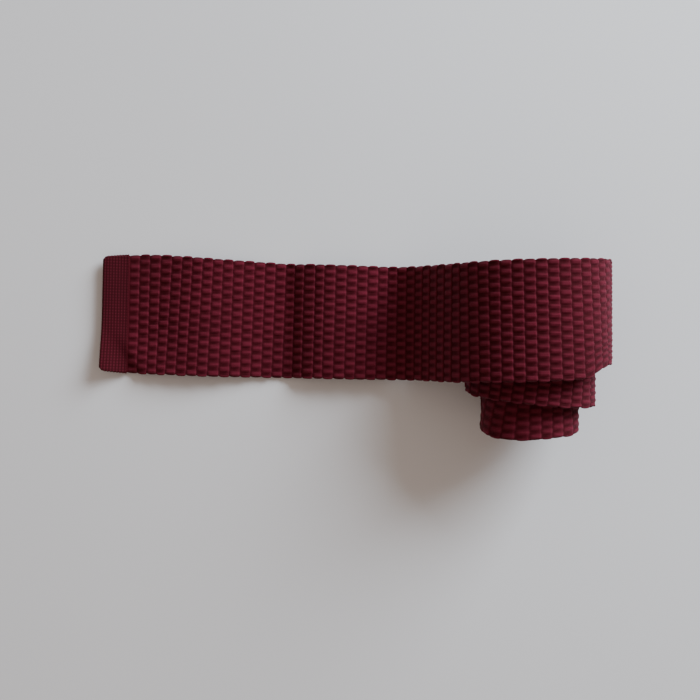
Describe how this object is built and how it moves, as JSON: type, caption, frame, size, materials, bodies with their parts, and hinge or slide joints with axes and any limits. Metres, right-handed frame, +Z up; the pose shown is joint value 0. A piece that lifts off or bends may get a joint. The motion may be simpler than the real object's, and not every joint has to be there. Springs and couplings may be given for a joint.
{
  "type": "necktie",
  "caption": "Square-ended knitted necktie, folded in half and rolled up, with the wide blade running out flat from the roll.",
  "frame": {"origin": "middle of the footprint, on the table the tie lies on", "axes": "+X along the blade from its square end towards the roll, +Y across the blade away from the side the roll slips out to, +Z up"},
  "size_m": [0.262, 0.0954, 0.057],
  "materials": {
    "knit": "chunky knit, dull with a faint sheen on the bumps",
    "jersey": "fine knit, dull",
    "thread": "spun thread",
    "tape": "narrow woven tape, satin"
  },
  "bodies": {
    "outer_coil": {"wide_blade_outer_turn": "knit", "back_seam_outer_turn": "thread", "tail_outer_turn": "knit", "tail_seam_outer_turn": "thread"},
    "blade_rise": {"wide_blade_rise": "knit", "back_seam_rise": "thread", "tail_rise": "knit", "tail_seam_rise": "thread", "keeper_loop": "tape", "keeper_tack_front": "thread", "keeper_tack_back": "thread"},
    "blade_mid": {"wide_blade_mid": "knit", "back_seam_mid": "thread"},
    "blade_tip": {"wide_blade_tip": "knit", "back_seam_tip": "thread", "wide_end_hem": "jersey", "wide_hem_linking_seam": "thread"},
    "tail_end": {"tail_end": "knit", "tail_seam_end": "thread", "tail_end_hem": "jersey", "tail_hem_linking_seam": "thread"},
    "middle_coil": {"wide_blade_middle_turn": "knit", "back_seam_middle_turn": "thread", "tail_middle_turn": "knit", "tail_seam_middle_turn": "thread"},
    "inner_coil": {"neck_band": "knit", "neck_seam": "thread", "neck_stay_tape": "tape", "blade_to_neck_seam": "thread", "tail_to_neck_seam": "thread"}
  },
  "joints": [
    {"name": "blade_lift", "type": "hinge", "parent": "outer_coil", "child": "blade_rise", "pos_m": [0.08028, 0, 0.0559], "axis": [0, 1, 0], "range_deg": [0, 75]},
    {"name": "blade_mid_bend", "type": "hinge", "parent": "blade_rise", "child": "blade_mid", "pos_m": [-0.0362, 0, 0.0013], "axis": [0, 1, 0], "range_deg": [-75, 95]},
    {"name": "blade_tip_bend", "type": "hinge", "parent": "blade_mid", "child": "blade_tip", "pos_m": [-0.0842, 0, 0.0013], "axis": [0, 1, 0], "range_deg": [-75, 90]},
    {"name": "tail_droop", "type": "hinge", "parent": "blade_rise", "child": "tail_end", "pos_m": [-0.00064, 0, 0.0025], "axis": [0, 1, 0], "range_deg": [-60, 0]},
    {"name": "middle_coil_slip", "type": "slide", "parent": "outer_coil", "child": "middle_coil", "axis": [0, 1, 0], "range_m": [-0.01, 0.013]},
    {"name": "inner_coil_slip", "type": "slide", "parent": "middle_coil", "child": "inner_coil", "axis": [0, 1, 0], "range_m": [-0.01, 0.021]}
  ]
}
